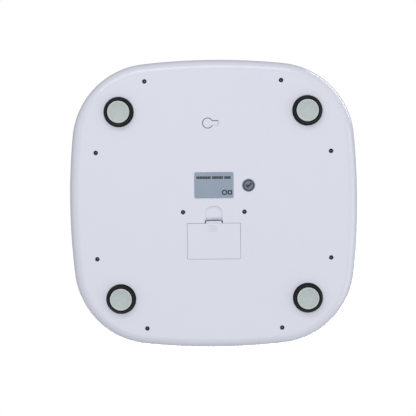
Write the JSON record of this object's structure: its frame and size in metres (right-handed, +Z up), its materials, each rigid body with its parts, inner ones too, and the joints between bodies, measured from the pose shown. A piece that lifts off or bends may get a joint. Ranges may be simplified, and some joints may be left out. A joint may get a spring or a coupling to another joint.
{
  "type": "digital bathroom scale",
  "caption": "Rounded-square plastic personal scale with a display window, weighing feet, a unit button and a latched battery door underneath.",
  "frame": {"origin": "on the floor below the middle of the scale, level with the bottom of the foot pads", "axes": "+Z up through the platform, +Y towards the display end, +X to the right of a person standing on it"},
  "size_m": [0.3, 0.3, 0.036],
  "materials": {
    "white_abs": "satin moulded ABS",
    "grey_abs": "satin moulded ABS",
    "black_rubber": "moulded rubber",
    "grey_green_silicone": "pale silicone, matt",
    "load_cell_steel": "stamped steel",
    "dark_zinc": "dark zinc plate",
    "nickel": "nickel plate",
    "battery_wrap": "printed sleeve on steel",
    "clear_acrylic": "polished clear acrylic",
    "lcd_glass": "reflective liquid-crystal panel",
    "board_laminate": "green solder mask",
    "black_epoxy": "moulded epoxy",
    "grey_pvc": "PVC insulation",
    "red_pvc": "PVC insulation",
    "black_pvc": "PVC insulation",
    "silver_film": "metallised film label",
    "grey_film": "printed film"
  },
  "bodies": {
    "housing": {"top_platform": "white_abs", "bottom_cover": "white_abs", "display_window": "clear_acrylic", "lcd_panel": "lcd_glass", "lcd_frame": "grey_abs", "elastomer_strip": "black_rubber", "circuit_board": "board_laminate", "processor_chip": "black_epoxy", "unit_switch": "black_epoxy", "rating_label": "silver_film", "inspection_sticker": "grey_film", "battery_lead_red": "red_pvc", "battery_lead_black": "black_pvc", "battery_contact_negative": "nickel", "battery_contact_positive": "nickel", "battery_link_left": "nickel", "battery_link_right": "nickel", "case_screw_1": "dark_zinc", "case_screw_2": "dark_zinc", "case_screw_3": "dark_zinc", "case_screw_4": "dark_zinc", "case_screw_5": "dark_zinc", "case_screw_6": "dark_zinc", "case_screw_7": "dark_zinc", "case_screw_8": "dark_zinc", "centre_screw_1": "dark_zinc", "board_screw_1": "dark_zinc", "centre_screw_2": "dark_zinc", "board_screw_2": "dark_zinc", "load_cell_1": "load_cell_steel", "load_cell_bracket_1": "grey_abs", "sensor_lead_1": "grey_pvc", "load_cell_2": "load_cell_steel", "load_cell_bracket_2": "grey_abs", "sensor_lead_2": "grey_pvc", "load_cell_3": "load_cell_steel", "load_cell_bracket_3": "grey_abs", "sensor_lead_3": "grey_pvc", "load_cell_4": "load_cell_steel", "load_cell_bracket_4": "grey_abs", "sensor_lead_4": "grey_pvc", "battery_1": "battery_wrap", "contact_spring_1": "nickel", "battery_2": "battery_wrap", "contact_spring_2": "nickel", "battery_3": "battery_wrap", "contact_spring_3": "nickel"},
    "battery_door": {"battery_door": "white_abs"},
    "door_latch": {"door_latch": "white_abs"},
    "unit_button": {"unit_button": "white_abs"},
    "foot_1": {"foot_cup_1": "black_rubber", "foot_pad_1": "grey_green_silicone"},
    "foot_2": {"foot_cup_2": "black_rubber", "foot_pad_2": "grey_green_silicone"},
    "foot_3": {"foot_cup_3": "black_rubber", "foot_pad_3": "grey_green_silicone"},
    "foot_4": {"foot_cup_4": "black_rubber", "foot_pad_4": "grey_green_silicone"}
  },
  "joints": [
    {"name": "foot_1_press", "type": "slide", "parent": "housing", "child": "foot_1", "axis": [0, 0, 1], "range_m": [0, 0.0006], "stiffness_N_per_m": 2500, "springref_m": -0.003},
    {"name": "foot_2_press", "type": "slide", "parent": "housing", "child": "foot_2", "axis": [0, 0, 1], "range_m": [0, 0.0006], "stiffness_N_per_m": 2500, "springref_m": -0.003},
    {"name": "foot_3_press", "type": "slide", "parent": "housing", "child": "foot_3", "axis": [0, 0, 1], "range_m": [0, 0.0006], "stiffness_N_per_m": 2500, "springref_m": -0.003},
    {"name": "foot_4_press", "type": "slide", "parent": "housing", "child": "foot_4", "axis": [0, 0, 1], "range_m": [0, 0.0006], "stiffness_N_per_m": 2500, "springref_m": -0.003},
    {"name": "battery_door_hinge", "type": "hinge", "parent": "housing", "child": "battery_door", "pos_m": [0, -0.0554, 0.0051], "axis": [-1, 0, 0], "range_deg": [0, 90]},
    {"name": "door_latch_slide", "type": "slide", "parent": "battery_door", "child": "door_latch", "axis": [0, -1, 0], "range_m": [0, 0.001], "stiffness_N_per_m": 2000},
    {"name": "unit_button_flex", "type": "hinge", "parent": "housing", "child": "unit_button", "pos_m": [-0.0052, 0.0846, 0.0058], "axis": [0, -1, 0], "range_deg": [0, 5], "stiffness_Nm_per_rad": 0.3}
  ]
}
